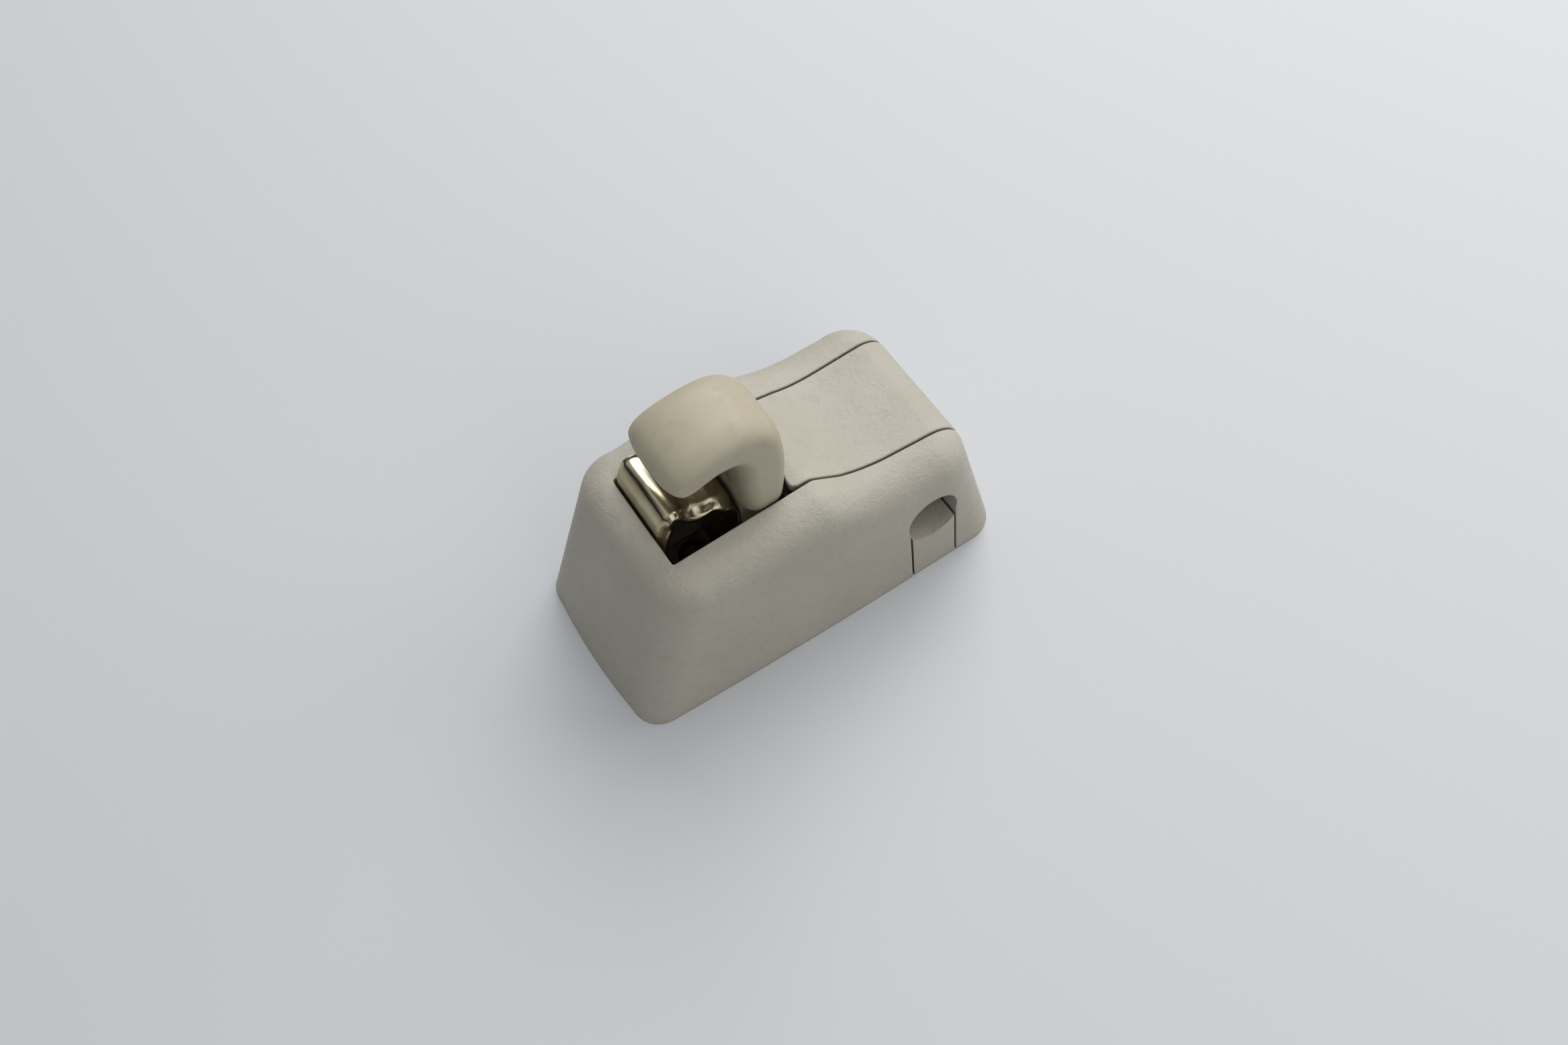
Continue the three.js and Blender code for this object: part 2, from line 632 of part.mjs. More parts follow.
const ring = (x, inner, outer, [z0, z1]) =>
  turned(x, 0, [[inner, z0], [outer, z0], [outer, z1], [inner, z1], [inner, z0]], 24);

function caseScrew({ x, y }) {
  return turned(x, y, [
    [0, 0.2],
    [2.1, 0.2],
    [2.1, 0.9],
    [CASE_SCREW_RADIUS, 0.9],
    [CASE_SCREW_RADIUS, 8.6],
    [0.3, 10],
    [0, 10],
  ]);
}

// ---------- assembly ----------

const beige = { color: 0xc3beae, roughness: 0.62, metalness: 0 };
const softBeige = { color: 0xbdb49e, roughness: 0.5, metalness: 0 };
const greyPlastic = { color: 0x9d988a, roughness: 0.65, metalness: 0 };
const springSteel = { color: 0xb5aa86, roughness: 0.22, metalness: 1 };
const zincSteel = { color: 0xb9bcbc, roughness: 0.38, metalness: 1 };
const nylon = { color: 0xe4e0d2, roughness: 0.5, metalness: 0 };

const part = new THREE.Group();
part.position.x = -LENGTH / 2;

function place(name, body, finish) {
  const mesh = new THREE.Mesh(geometryOf(body), new THREE.MeshStandardMaterial(finish));
  mesh.name = name;
  part.add(mesh);
}

place("housing", housing(), beige);
place("carrier", carrier(), beige);
place("base_plate", basePlate(), zincSteel);
place("hook", hook(), softBeige);
place("hook_core", hookCore(), zincSteel);
place("hook_core_pin", hookCorePin(), zincSteel);
place("leaf_spring_arm", leafSpringArm(), springSteel);
place("leaf_spring_foot", leafSpringFoot(), springSteel);
for (const [side, sign] of [["near", -1], ["far", 1]]) {
  place(`leaf_rivet_${side}`, rivet(LEAF_RIVETS.x, sign * LEAF_RIVETS.y, LEAF_THICK), zincSteel);
  place(`core_rivet_${side}`, rivet(CORE_RIVETS.x, sign * CORE_RIVETS.y, 1.4), zincSteel);
}
place("cover_flap", coverFlap(), beige);
place("cover_hinge_pin", coverHingePin(), zincSteel);
place("fixing_screw", fixingScrew(), zincSteel);
const headBottom = SCREW_TIP + SCREW_LENGTH;
const washerTop = headBottom - GAP;
place("screw_washer", ring(SCREW_X, SCREW_RADIUS + GAP, 4.2, [washerTop - 0.8, washerTop]), zincSteel);
place("screw_retainer", ring(SCREW_X, SCREW_RADIUS + GAP, 3.9, [BOSS_TOP + GAP, BOSS_TOP + GAP + 1]), nylon);
place("screw_sleeve", ring(SCREW_X, SCREW_RADIUS + GAP, SLEEVE_RADIUS, [0.1, BOSS_TOP - 0.1]), zincSteel);
for (const screw of CASE_SCREWS) place(`case_screw_${screw.name}`, caseScrew(screw), greyPlastic);

export default part;
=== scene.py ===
import math

import bmesh
import bpy
import numpy as np
from mathutils import Matrix, Vector
from mathutils.bvhtree import BVHTree


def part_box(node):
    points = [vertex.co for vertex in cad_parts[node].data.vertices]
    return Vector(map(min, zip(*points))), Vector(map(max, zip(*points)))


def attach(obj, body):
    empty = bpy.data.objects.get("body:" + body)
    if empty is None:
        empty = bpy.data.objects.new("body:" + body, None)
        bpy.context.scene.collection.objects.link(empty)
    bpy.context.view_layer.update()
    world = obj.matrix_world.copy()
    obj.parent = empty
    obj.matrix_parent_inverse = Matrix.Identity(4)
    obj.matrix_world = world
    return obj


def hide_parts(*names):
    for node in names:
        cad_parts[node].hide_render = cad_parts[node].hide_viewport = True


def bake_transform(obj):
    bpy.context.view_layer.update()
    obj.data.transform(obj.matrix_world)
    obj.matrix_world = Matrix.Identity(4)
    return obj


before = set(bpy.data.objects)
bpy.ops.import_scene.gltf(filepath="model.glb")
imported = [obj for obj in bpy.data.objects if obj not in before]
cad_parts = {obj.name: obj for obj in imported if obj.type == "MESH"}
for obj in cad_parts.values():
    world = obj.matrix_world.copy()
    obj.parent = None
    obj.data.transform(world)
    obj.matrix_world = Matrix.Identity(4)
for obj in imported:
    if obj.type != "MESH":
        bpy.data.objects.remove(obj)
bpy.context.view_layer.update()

MM = 0.001
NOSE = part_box("housing")[0].x
TO_ROW = Matrix.Translation((NOSE, 0, 0)) @ Matrix.Scale(MM, 4)


def cad_box(node):
    """Lowest and highest corner of a CAD node, in millimetres from the nose."""
    shift = np.array([NOSE, 0, 0])
    return tuple((np.array(corner) - shift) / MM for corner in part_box(node))


# ---------- sizes, as in the CAD ----------

LENGTH = cad_box("housing")[1][0]
NOSE_HALF_WIDTH = 15
REAR_HALF_WIDTH = 16.5
SIDE_BOW = 0.5
NOSE_BOW = 1.2
DECK_HEIGHT = cad_box("housing")[1][2]
REAR_HEIGHT = 23.9
REAR_FALL = 0.06
REAR_FLAT_FROM = 47
NOSE_RUN = 9.3
SIDE_DRAFT = 0.082
END_DRAFT = 0.18
CORNER_RADIUS = 4.8
EDGE_RADIUS = 4.8
WALL = 2.7

WINDOW_FRONT = 13.2
WINDOW_HALF = 7.75
FLAP_FRONT = 33.4
FLAP_EAR_FRONT = 32.1
FLAP_WIDE_FROM = 35.2
FLAP_HALF_WIDTHS = [[35.2, 7.65], [39, 8.3], [46, 8.75], [64, 9.5]]
FLAP_THICK = 1.5
FLAP_LIP_BOTTOM = cad_box("cover_flap")[0][2]
SEAM = 0.3
LEDGE_WIDTH = 1.3
LEDGE_FROM = 41
HINGE_X = 35.4
HINGE_Z = 25.7
HINGE_PIN_RADIUS = 0.75
BARREL_RADIUS = 1.5
HINGE_HALF = 9.6

TUNNEL_X = 50
TUNNEL_Z = 12.9
TUNNEL_RADIUS = 4.15
SLOT_HALF = TUNNEL_RADIUS - 0.2
SLEEVE_WALL = 1.2

HOOK_HALF = 7.45
HOOK_HEAD_HALF = 6.1
HOOK_WAIST_HALF = 4.9
HOOK_WAIST_Z = (21.5, 27.9)
HOOK_BOTTOM = cad_box("hook")[0][2]
HOOK_ROUND = 2.2

LEAF_THICK = 0.55
LEAF_CENTRE_Y = 1.3
LEAF_HALF = 6.15
LEAF_ROOT_HALF = 5.2
LEAF_FOOT_Z = 4.475

EDGE = 0.22  # rounding of the moulded edges
PROUD = 0.01  # keeps a cutter's edge off the surface it cuts


# ---------- mesh helpers ----------


def mesh_object(name, points, faces):
    """A linked mesh object from millimetre points."""
    mesh = bpy.data.meshes.new(name)
    mesh.from_pydata([tuple(map(float, p)) for p in points], [], faces)
    mesh.validate()
    shape = bpy.data.objects.new(name, mesh)
    bpy.context.scene.collection.objects.link(shape)
    return shape


def settle(shape):
    """Turns the object's modifiers into mesh."""
    bpy.context.view_layer.update()
    evaluated = shape.evaluated_get(bpy.context.evaluated_depsgraph_get())
    mesh = bpy.data.meshes.new_from_object(evaluated)
    shape.modifiers.clear()
    old = shape.data
    shape.data = mesh
    bpy.data.meshes.remove(old)
    return shape


def outward(shape):
    """Makes every face point outwards."""
    form = bmesh.new()
    form.from_mesh(shape.data)
    bmesh.ops.recalc_face_normals(form, faces=form.faces)
    form.to_mesh(shape.data)
    form.free()
    return shape


def combine(target, tool, operation):
    """Joins, cuts or intersects target with tool, which is used up."""
    modifier = target.modifiers.new("combine", "BOOLEAN")
    modifier.operation = operation
    modifier.solver = "EXACT"
    modifier.object = tool
    settle(target)
    bpy.data.meshes.remove(tool.data)
    return target


def lofted(name, rings, caps=True):
    """A skin through closed rings of equal length, with flat ends."""
    count = len(rings[0])
    faces = []
    for k in range(len(rings) - 1):
        for i in range(count):
            j = (i + 1) % count
            a, b = k * count, (k + 1) * count
            faces.append((a + i, a + j, b + j, b + i))
    if caps:
        last = (len(rings) - 1) * count
        faces.append(tuple(range(count - 1, -1, -1)))
        faces.append(tuple(range(last, last + count)))
    return outward(mesh_object(name, np.vstack(rings), faces))


def box(name, xs, ys, zs):
    ring = [(xs[0], ys[0]), (xs[1], ys[0]), (xs[1], ys[1]), (xs[0], ys[1])]
    return lofted(name, [[(x, y, z) for x, y in ring] for z in zs])


def rod(name, x, z, radius, ys, sides=48):
    """A cylinder that lies across the part."""
    angles = np.linspace(0, 2 * math.pi, sides, endpoint=False)
    ring = [(x + radius * math.cos(a), z + radius * math.sin(a)) for a in angles]
    return lofted(name, [[(px, y, pz) for px, pz in ring] for y in ys])


def post(name, x, y, radius, zs, sides=40):
    angles = np.linspace(0, 2 * math.pi, sides, endpoint=False)
    ring = [(x + radius * math.cos(a), y + radius * math.sin(a)) for a in angles]
    return lofted(name, [[(px, py, z) for px, py in ring] for z in zs])


def spline(points, samples):
    """Centripetal Catmull-Rom through points, spread evenly by length."""
    knots = np.array(points, float)
    knots = np.vstack([2 * knots[0] - knots[1], knots, 2 * knots[-1] - knots[-2]])
    dense = []
    for p0, p1, p2, p3 in zip(knots, knots[1:], knots[2:], knots[3:]):
        t0 = 0.0
        t1 = t0 + np.linalg.norm(p1 - p0) ** 0.5
        t2 = t1 + np.linalg.norm(p2 - p1) ** 0.5
        t3 = t2 + np.linalg.norm(p3 - p2) ** 0.5
        for t in np.linspace(t1, t2, 24, endpoint=False):
            a1 = ((t1 - t) * p0 + (t - t0) * p1) / (t1 - t0)
            a2 = ((t2 - t) * p1 + (t - t1) * p2) / (t2 - t1)
            a3 = ((t3 - t) * p2 + (t - t2) * p3) / (t3 - t2)
            b1 = ((t2 - t) * a1 + (t - t0) * a2) / (t2 - t0)
            b2 = ((t3 - t) * a2 + (t - t1) * a3) / (t3 - t1)
            dense.append(((t2 - t) * b1 + (t - t1) * b2) / (t2 - t1))
    dense = np.array(dense + [knots[-2]])
    return resample(dense, samples)


def resample(line, samples):
    """The same polyline with points spread evenly by length."""
    line = np.array(line, float)
    run = np.concatenate([[0], np.cumsum(np.linalg.norm(np.diff(line, axis=0), axis=1))])
    wanted = np.linspace(0, run[-1], samples)
    return np.stack([np.interp(wanted, run, line[:, i]) for i in range(line.shape[1])], axis=1)


def tangents(line):
    steps = np.gradient(line, axis=0)
    return steps / np.linalg.norm(steps, axis=1)[:, None]


def smoothstep(value, low, high):
    t = np.clip((value - low) / (high - low), 0, 1)
    return t * t * (3 - 2 * t)


# ---------- the housing's form ----------


def bezier(points, count):
    t = np.linspace(0, 1, count)[:, None]
    a, b, c, d = np.array(points, float)
    return (1 - t) ** 3 * a + 3 * (1 - t) ** 2 * t * b + 3 * (1 - t) * t * t * c + t**3 * d


STEP_DOWN = bezier(
    [(33.4, DECK_HEIGHT), (36.8, DECK_HEIGHT), (38.8, REAR_HEIGHT + 0.5), (REAR_FLAT_FROM, REAR_HEIGHT)], 120
)


def top_height(x):
    """Height of the top surface: a level deck, an S-shaped step down, and a gentle fall."""
    x = np.asarray(x, float)
    stepped = np.interp(x, STEP_DOWN[:, 0], STEP_DOWN[:, 1])
    return np.where(x > REAR_FLAT_FROM, REAR_HEIGHT - REAR_FALL * (x - REAR_FLAT_FROM), stepped)


def base_half_width(x):
    u = np.asarray(x, float) / LENGTH
    return NOSE_HALF_WIDTH + (REAR_HALF_WIDTH - NOSE_HALF_WIDTH) * u + SIDE_BOW * 4 * u * (1 - u)


def plan_outline(x0, x1, half_at, radius, bow, steps):
    """A rounded plan outline, with the same number of points at every size."""
    end_steps, corner_steps, side_steps = steps
    half = []
    nose_half = half_at(x0 + radius) - radius
    for y in np.linspace(0, nose_half, end_steps + 1):
        half.append((x0 + bow * (y / half_at(x0)) ** 2, -y))
    nose_shift = half[-1][0] - x0
    for i in range(1, corner_steps):
        a = math.pi + math.pi / 2 * i / corner_steps
        shift = nose_shift * (1 - i / corner_steps)
        half.append((x0 + radius + radius * math.cos(a) + shift, -nose_half + radius * math.sin(a)))
    for x in np.linspace(x0 + radius, x1 - radius, side_steps + 1):
        half.append((x, -half_at(x)))
    rear_half = half_at(x1 - radius) - radius
    for i in range(1, corner_steps):
        a = -math.pi / 2 + math.pi / 2 * i / corner_steps
        half.append((x1 - radius + radius * math.cos(a), -rear_half + radius * math.sin(a)))
    for y in np.linspace(rear_half, 0, end_steps + 1):
        half.append((x1, -y))
    mirrored = [(x, -y) for x, y in half[-2:0:-1]]
    return np.array(half + mirrored)


def body_form(name, inset, floor=0.0, steps=(8, 12, 96), arc_steps=14):
    """The housing's outer form, moved inwards by inset on every face but the base."""
    deck = DECK_HEIGHT - inset
    nose_inset = inset / math.cos(math.atan(NOSE_RUN / DECK_HEIGHT))
    rear_top = float(top_height(LENGTH)) - inset

    def nose_at(z):
        return nose_inset + NOSE_RUN * z / DECK_HEIGHT

    def end_at(z):
        return LENGTH - inset - END_DRAFT * z

    def edge_half(x):
        return base_half_width(x) - inset - SIDE_DRAFT * top_height(x)

    radius = max(CORNER_RADIUS - inset, 1.5)
    fillet = max(EDGE_RADIUS - inset, 1.2)
    base = plan_outline(
        nose_at(floor), end_at(floor), lambda x: base_half_width(x) - inset, radius, NOSE_BOW, steps
    )
    edge = plan_outline(nose_at(deck), end_at(rear_top), edge_half, radius + 1.6, 0, steps)
    around = np.roll(edge, -1, axis=0) - np.roll(edge, 1, axis=0)
    around /= np.linalg.norm(around, axis=1)[:, None]
    inwards = np.stack([-around[:, 1], around[:, 0]], axis=1)
    rise = top_height(edge[:, 0]) - inset - floor
    slope = np.arctan(((edge - base) * inwards).sum(axis=1) / rise)

    def level(plan, height):
        return np.column_stack([plan, np.broadcast_to(height, len(plan))])

    foot = level(base, floor)
    drop = fillet * (1 - np.sin(slope))
    tangent = foot + (level(edge, floor + rise) - foot) * (1 - drop / rise)[:, None]
    rings = [foot + (tangent - foot) * t for t in np.linspace(0, 1, 9)]
    for k in range(1, arc_steps + 1):
        angle = slope + (math.pi / 2 - slope) * k / arc_steps
        setback = fillet * (np.tan(math.pi / 4 - slope / 2) - np.cos(angle))
        plan = edge + inwards * setback[:, None]
        rings.append(level(plan, top_height(plan[:, 0]) - inset - fillet * (1 - np.sin(angle))))
    shoulder = rings[-1][:, :2]
    ridge_x = np.clip(shoulder[:, 0], nose_at(deck) + 8, end_at(rear_top) - 8)
    ridge = np.column_stack([ridge_x, np.zeros(len(ridge_x))])
    for t in np.linspace(0, 1, 9)[1:]:
        plan = shoulder + (ridge - shoulder) * t
        rings.append(level(plan, top_height(plan[:, 0]) - inset))
    shape = lofted(name, rings, caps=False)
    form = bmesh.new()
    form.from_mesh(shape.data)
    bmesh.ops.remove_doubles(form, verts=form.verts, dist=1e-4)
    bmesh.ops.holes_fill(form, edges=[e for e in form.edges if e.is_boundary])
    bmesh.ops.recalc_face_normals(form, faces=form.faces)
    form.to_mesh(shape.data)
    form.free()
    return shape


outer_form = body_form("outer_form", 0)
outer_tree = BVHTree.FromObject(outer_form, bpy.context.evaluated_depsgraph_get())


def end_profile():
    """The centre line of the top and the end wall in x and z, from the window to the foot of the end."""
    top = [(x, float(top_height(x))) for x in np.linspace(FLAP_EAR_FRONT - 1, 54, 90)]
    corner = Vector((54, 0, float(top_height(54)) - 6))
    for angle in np.linspace(math.pi / 2, -0.1, 60)[1:]:
        hit = outer_tree.ray_cast(corner, Vector((math.cos(angle), 0, math.sin(angle))))[0]
        top.append((hit.x, hit.z))
    for z in np.linspace(top[-1][1], 4, 30)[1:]:
        top.append((LENGTH - END_DRAFT * z, z))
    return resample(top, 260)


END_PROFILE = end_profile()
END_TANGENTS = tangents(END_PROFILE)
END_NORMALS = np.stack([-END_TANGENTS[:, 1], END_TANGENTS[:, 0]], axis=1)


def on_surface(station, y):
    """The outer surface's point near the centre line's station, y to the side."""
    x, z = END_PROFILE[station]
    nx, nz = END_NORMALS[station]
    start = Vector((x + 4 * nx, y, z + 4 * nz))
    hit = outer_tree.ray_cast(start, Vector((-nx, 0, -nz)))[0]
    return np.array(hit) if hit else np.array([x, y, z])


def flap_half(x):
    stations, widths = zip(*FLAP_HALF_WIDTHS)
    return float(np.interp(x, stations, widths))


# ---------- housing ----------


def recess_cutter():
    """Follows the top and the end wall to the depth of the flap, with its upper edges rounded over."""
    stations = [
        i
        for i, (x, z) in enumerate(END_PROFILE)
        if x >= FLAP_WIDE_FROM and (x < 56 or z >= FLAP_LIP_BOTTOM - SEAM)
    ]
    rings = []
    for i in stations:
        half = flap_half(END_PROFILE[i][0])
        point = on_surface(i, -half - EDGE)
        normal = END_NORMALS[i]
        section = [(-half - EDGE, 5)]
        for angle in np.linspace(0, math.pi / 2, 5):
            section.append((-half - EDGE + EDGE * math.sin(angle), -EDGE * (1 - math.cos(angle))))
        section.append((-half, -FLAP_THICK - SEAM))
        section += [(-y, n) for y, n in reversed(section)]
        rings.append([(point[0] + n * normal[0], y, point[2] + n * normal[1]) for y, n in section])
    return lofted("recess_cutter", rings)


def ledge_cutter():
    """Opens what is under the flap, all but a ledge along each side."""
    stations = np.linspace(LEDGE_FROM, LENGTH + 4, 12)
    near = [(x, LEDGE_WIDTH - flap_half(x)) for x in stations]
    outline = near + [(x, -y) for x, y in reversed(near)]
    return lofted("ledge_cutter", [[(x, y, z) for x, y in outline] for z in (FLAP_LIP_BOTTOM + 2, 40)])


def rounded_rectangle(x0, x1, half, radius):
    corners = [(x1 - radius, half - radius, 0), (x0 + radius, half - radius, 1)]
    corners += [(x0 + radius, -half + radius, 2), (x1 - radius, -half + radius, 3)]
    outline = []
    for cx, cy, quarter in corners:
        for angle in np.linspace(0, math.pi / 2, 5) + quarter * math.pi / 2:
            outline.append((cx + radius * math.cos(angle), cy + radius * math.sin(angle)))
    return outline


def window_cutter():
    """The window through the deck, with its upper edge rounded over."""
    rings = []
    levels = [(10, 0), (DECK_HEIGHT - EDGE, 0)]
    for angle in np.linspace(0, math.pi / 2, 5)[1:]:
        levels.append((DECK_HEIGHT - EDGE + EDGE * math.sin(angle), EDGE * (1 - math.cos(angle))))
    levels.append((DECK_HEIGHT + 8, EDGE))
    for z, grow in levels:
        outline = rounded_rectangle(
            WINDOW_FRONT - grow, FLAP_WIDE_FROM + 0.4, WINDOW_HALF + grow, 0.35 + grow
        )
        rings.append([(x, y, z) for x, y in outline])
    return lofted("window_cutter", rings)


def slot_outline(grow, below):
    """Side view of the tunnel and the slot under it, grown by a margin."""
    half = SLOT_HALF + grow
    radius = TUNNEL_RADIUS + grow
    reach = math.acos(half / radius)
    arc = [
        (TUNNEL_X + radius * math.cos(a), TUNNEL_Z + radius * math.sin(a))
        for a in np.linspace(-reach, math.pi + reach, 49)
    ]
    foot_z = arc[0][1]
    right = [(TUNNEL_X + half, z) for z in np.linspace(below, foot_z, 12)[:-1]]
    left = [(TUNNEL_X - half, z) for z in np.linspace(foot_z, below, 12)[1:]]
    return right + arc + left


def wall_y(x, z):
    """How far out the side wall is."""
    hit = outer_tree.ray_cast(Vector((x, -40, max(z, 0.02))), Vector((0, 1, 0)))[0]
    return -hit.y if hit else float(base_half_width(x))


def slot_cutter():
    """Cuts the tunnel and its slot from side to side, rounding the edges on both walls."""
    half_rings = [[(x, -25.0, z) for x, z in slot_outline(EDGE, -2)]]
    for angle in np.linspace(math.pi / 2, 0, 5):
        grow = EDGE * (1 - math.cos(angle))
        depth = EDGE * (1 - math.sin(angle)) - PROUD
        half_rings.append([(x, depth - wall_y(x, z), z) for x, z in slot_outline(grow, -2)])
    far_rings = [[(x, -y, z) for x, y, z in ring] for ring in reversed(half_rings)]
    return lofted("slot_cutter", half_rings + far_rings)


def make_housing():
    shell = body_form("housing_shell", 0)
    cavity = body_form("cavity", WALL, floor=-0.5, steps=(4, 5, 30), arc_steps=5)
    combine(shell, cavity, "DIFFERENCE")
    inside = [
        body_form(f"inside_{i}", WALL / 2, floor=0.3, steps=(4, 5, 30), arc_steps=5) for i in range(3)
    ]
    outline = [(x, z) for x, z in slot_outline(SLEEVE_WALL, 4.4)]
    tunnel = lofted("tunnel", [[(x, y, z) for x, z in outline] for y in (-20, 20)])
    combine(tunnel, inside[0], "INTERSECT")
    combine(shell, tunnel, "UNION")
    lugs = []
    for side in (-1, 1):
        near, far = sorted(side * y for y in (WINDOW_HALF - 0.4, HINGE_HALF + 0.6))
        lug = box("lug", (HINGE_X - 2.2, HINGE_X + 2.2), (near, far), (HINGE_Z - 2, HINGE_Z + 1.6))
        lugs.append(combine(lug, inside[1 + (side > 0)], "INTERSECT"))
    for lug in lugs:
        combine(shell, lug, "UNION")
    well_half = WINDOW_HALF - 0.15
    well = box("well", (WINDOW_FRONT + 2, LEDGE_FROM + 0.5), (-well_half, well_half), (10, HINGE_Z + 1))
    combine(shell, well, "DIFFERENCE")
    combine(shell, ledge_cutter(), "DIFFERENCE")
    combine(shell, window_cutter(), "DIFFERENCE")
    combine(shell, recess_cutter(), "DIFFERENCE")
    combine(shell, slot_cutter(), "DIFFERENCE")
    pin = rod("pin", HINGE_X, HINGE_Z, HINGE_PIN_RADIUS + 0.1, (-HINGE_HALF - 0.3, HINGE_HALF + 0.3))
    combine(shell, pin, "DIFFERENCE")
    return shell


# ---------- cover flap ----------


def flap_front(y):
    """Station of the flap's front edge: hollow round the hook, with a rounded ear at each side."""
    half = WINDOW_HALF - 1.5 * SEAM
    radius = 0.9
    hollow = FLAP_FRONT - (FLAP_FRONT - FLAP_EAR_FRONT) * smoothstep(abs(y), 0.5, half - radius)
    into = max(0, abs(y) - (half - radius))
    return float(hollow) + radius - math.sqrt(max(radius**2 - into**2, 0))


def make_flap():
    """The flap's skin as one sheet over the top and down the end wall, then its thickness and edges."""
    columns = np.linspace(-1, 1, 45)
    front_half = WINDOW_HALF - 1.5 * SEAM
    even_from = FLAP_WIDE_FROM + 2
    even = [
        i for i, (x, z) in enumerate(END_PROFILE) if x >= even_from and (x < 56 or z >= FLAP_LIP_BOTTOM)
    ][::2]
    rows = []
    for t in np.linspace(0, 1, 12)[:-1]:
        row = []
        for v in columns:
            y = v * front_half
            x = flap_front(y) + t * (even_from - flap_front(y))
            half = max(front_half, flap_half(x) - SEAM) if x > FLAP_WIDE_FROM else front_half
            row.append((x, v * half, float(top_height(x))))
        rows.append(row)
    for i in even:
        half = flap_half(END_PROFILE[i][0]) - SEAM
        rows.append([tuple(on_surface(i, v * half)) for v in columns])
    count = len(columns)
    faces = [
        (k * count + i, k * count + i + 1, (k + 1) * count + i + 1, (k + 1) * count + i)
        for k in range(len(rows) - 1)
        for i in range(count - 1)
    ]
    flap = mesh_object("flap_skin", [p for row in rows for p in row], faces)
    thicken(flap, FLAP_THICK, EDGE)
    barrels = []
    for side in (-1, 1):
        near, far = sorted(side * y for y in (2.6, front_half))
        barrels.append(rod("barrel", HINGE_X, HINGE_Z, BARREL_RADIUS, (near, far)))
        web_top = float(top_height(HINGE_X + 1)) - 0.8
        barrels.append(box("web", (HINGE_X - 1, HINGE_X + 1), (near, far), (HINGE_Z, web_top)))
    for barrel in barrels:
        combine(flap, barrel, "UNION")
    bore = rod("bore", HINGE_X, HINGE_Z, HINGE_PIN_RADIUS + 0.1, (-10, 10))
    return combine(flap, bore, "DIFFERENCE")


def thicken(sheet, thick, edge):
    """Gives an open sheet its thickness downwards, and rounds its edges."""
    outward_up(sheet)
    solidify = sheet.modifiers.new("thick", "SOLIDIFY")
    solidify.thickness = thick
    solidify.offset = -1
    solidify.use_even_offset = True
    bevel = sheet.modifiers.new("edge", "BEVEL")
    bevel.width = edge
    bevel.segments = 3
    bevel.limit_method = "ANGLE"
    bevel.angle_limit = math.radians(50)
    bevel.use_clamp_overlap = False
    return settle(sheet)


def outward_up(sheet):
    """Turns a sheet's faces so that most of them face up."""
    form = bmesh.new()
    form.from_mesh(sheet.data)
    bmesh.ops.recalc_face_normals(form, faces=form.faces)
    if sum(f.normal.z * f.calc_area() for f in form.faces) < 0:
        bmesh.ops.reverse_faces(form, faces=form.faces)
    form.to_mesh(sheet.data)
    form.free()


# ---------- hook ----------

HOOK_SIDE = [
    (31, HOOK_BOTTOM), (31.1, 20), (31.3, 26), (32.2, 31), (33, 36), (32.6, 39.6), (31, 42.1),
    (28.4, 43.7), (25, 44.3), (21.5, 44.1), (18.6, 43.3), (16.7, 42.1), (15.7, 40.3), (16.7, 38.6),
    (18.7, 38), (20.9, 38.2), (23, 38.4), (25.1, 37.8), (25.9, 35.2), (25.7, 31), (25.3, 27),
    (25.2, 18), (25.2, HOOK_BOTTOM),
]


def make_hook():
    """The hook's side view carried across the part, tapered to its head and rounded off at both sides."""
    line = spline(HOOK_SIDE, 260)
    along = tangents(line)
    inwards = np.stack([-along[:, 1], along[:, 0]], axis=1)
    head = smoothstep(line[:, 1], 32, 38)
    tip = 1 - smoothstep(line[:, 0], 16, 24)
    half = HOOK_HALF + (HOOK_HEAD_HALF - HOOK_HALF) * smoothstep(line[:, 1], 28, 41)
    reach = 2.5 + head + tip
    inset = HOOK_ROUND - 0.7 * tip
    rings = []
    angles = np.linspace(0, math.pi / 2, 13)
    for side, sweep in ((-1, reversed(angles)), (1, angles)):
        for angle in sweep:
            plan = line + inwards * (inset * (1 - math.cos(angle)))[:, None]
            y = side * (half - reach * (1 - math.sin(angle)))
            rings.append(np.column_stack([plan[:, 0], y, plan[:, 1]]))
    form = lofted("hook_form", rings)
    mesh = bmesh.new()
    mesh.from_mesh(form.data)
    bmesh.ops.triangulate(mesh, faces=[face for face in mesh.faces if len(face.verts) > 4])
    mesh.to_mesh(form.data)
    mesh.free()
    for y in ((-12, -HOOK_WAIST_HALF), (HOOK_WAIST_HALF, 12)):
        combine(form, box("waist", (20, 36), y, HOOK_WAIST_Z), "DIFFERENCE")
    return form


# ---------- leaf spring ----------

LEAF_LINE = [
    (17, LEAF_FOOT_Z), (21, LEAF_FOOT_Z), (23.4, LEAF_FOOT_Z), (24.3, LEAF_FOOT_Z + 0.9), (24.75, 9),
    (24.75, 20), (24.75, 26.6), (24.5, 28.2), (23.6, 29.1), (22.2, 29.6), (20.2, 29.7), (18.4, 30.5),
    (17, 31.7), (15.7, 32), (14.8, 31.1), (13.9, 29), (13.6, 27), (13.6, 22),
]
LEAF_CURL = 1.4  # how far the ramp's near edge is curled down, and how much less the rolled lip is
LEAF_LIP_EASE = 0.75


